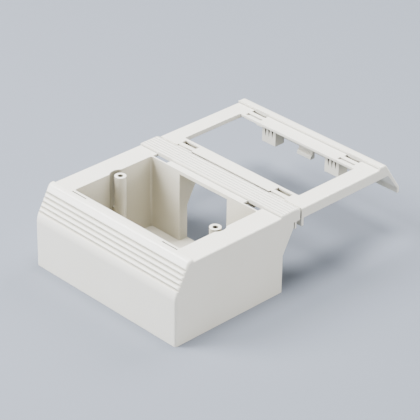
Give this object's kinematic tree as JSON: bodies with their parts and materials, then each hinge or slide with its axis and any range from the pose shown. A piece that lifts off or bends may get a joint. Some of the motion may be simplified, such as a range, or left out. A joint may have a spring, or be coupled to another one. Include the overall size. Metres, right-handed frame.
{
  "type": "raceway offset box",
  "caption": "Moulded device box that stands on the wall beside a surface raceway, with a bezel frame that bridges the raceway at the same height, for two device plates side by side.",
  "frame": {"origin": "on the wall plane, under the centre of the box's device opening", "axes": "+X along the raceway, +Y across it from the box to the frame, +Z away from the wall"},
  "size_m": [0.124, 0.1919, 0.0539],
  "materials": {
    "moulding": "satin off-white, fine moulded texture"
  },
  "bodies": {
    "root": {"offset_box": "moulding", "bezel_frame": "moulding"}
  },
  "joints": []
}
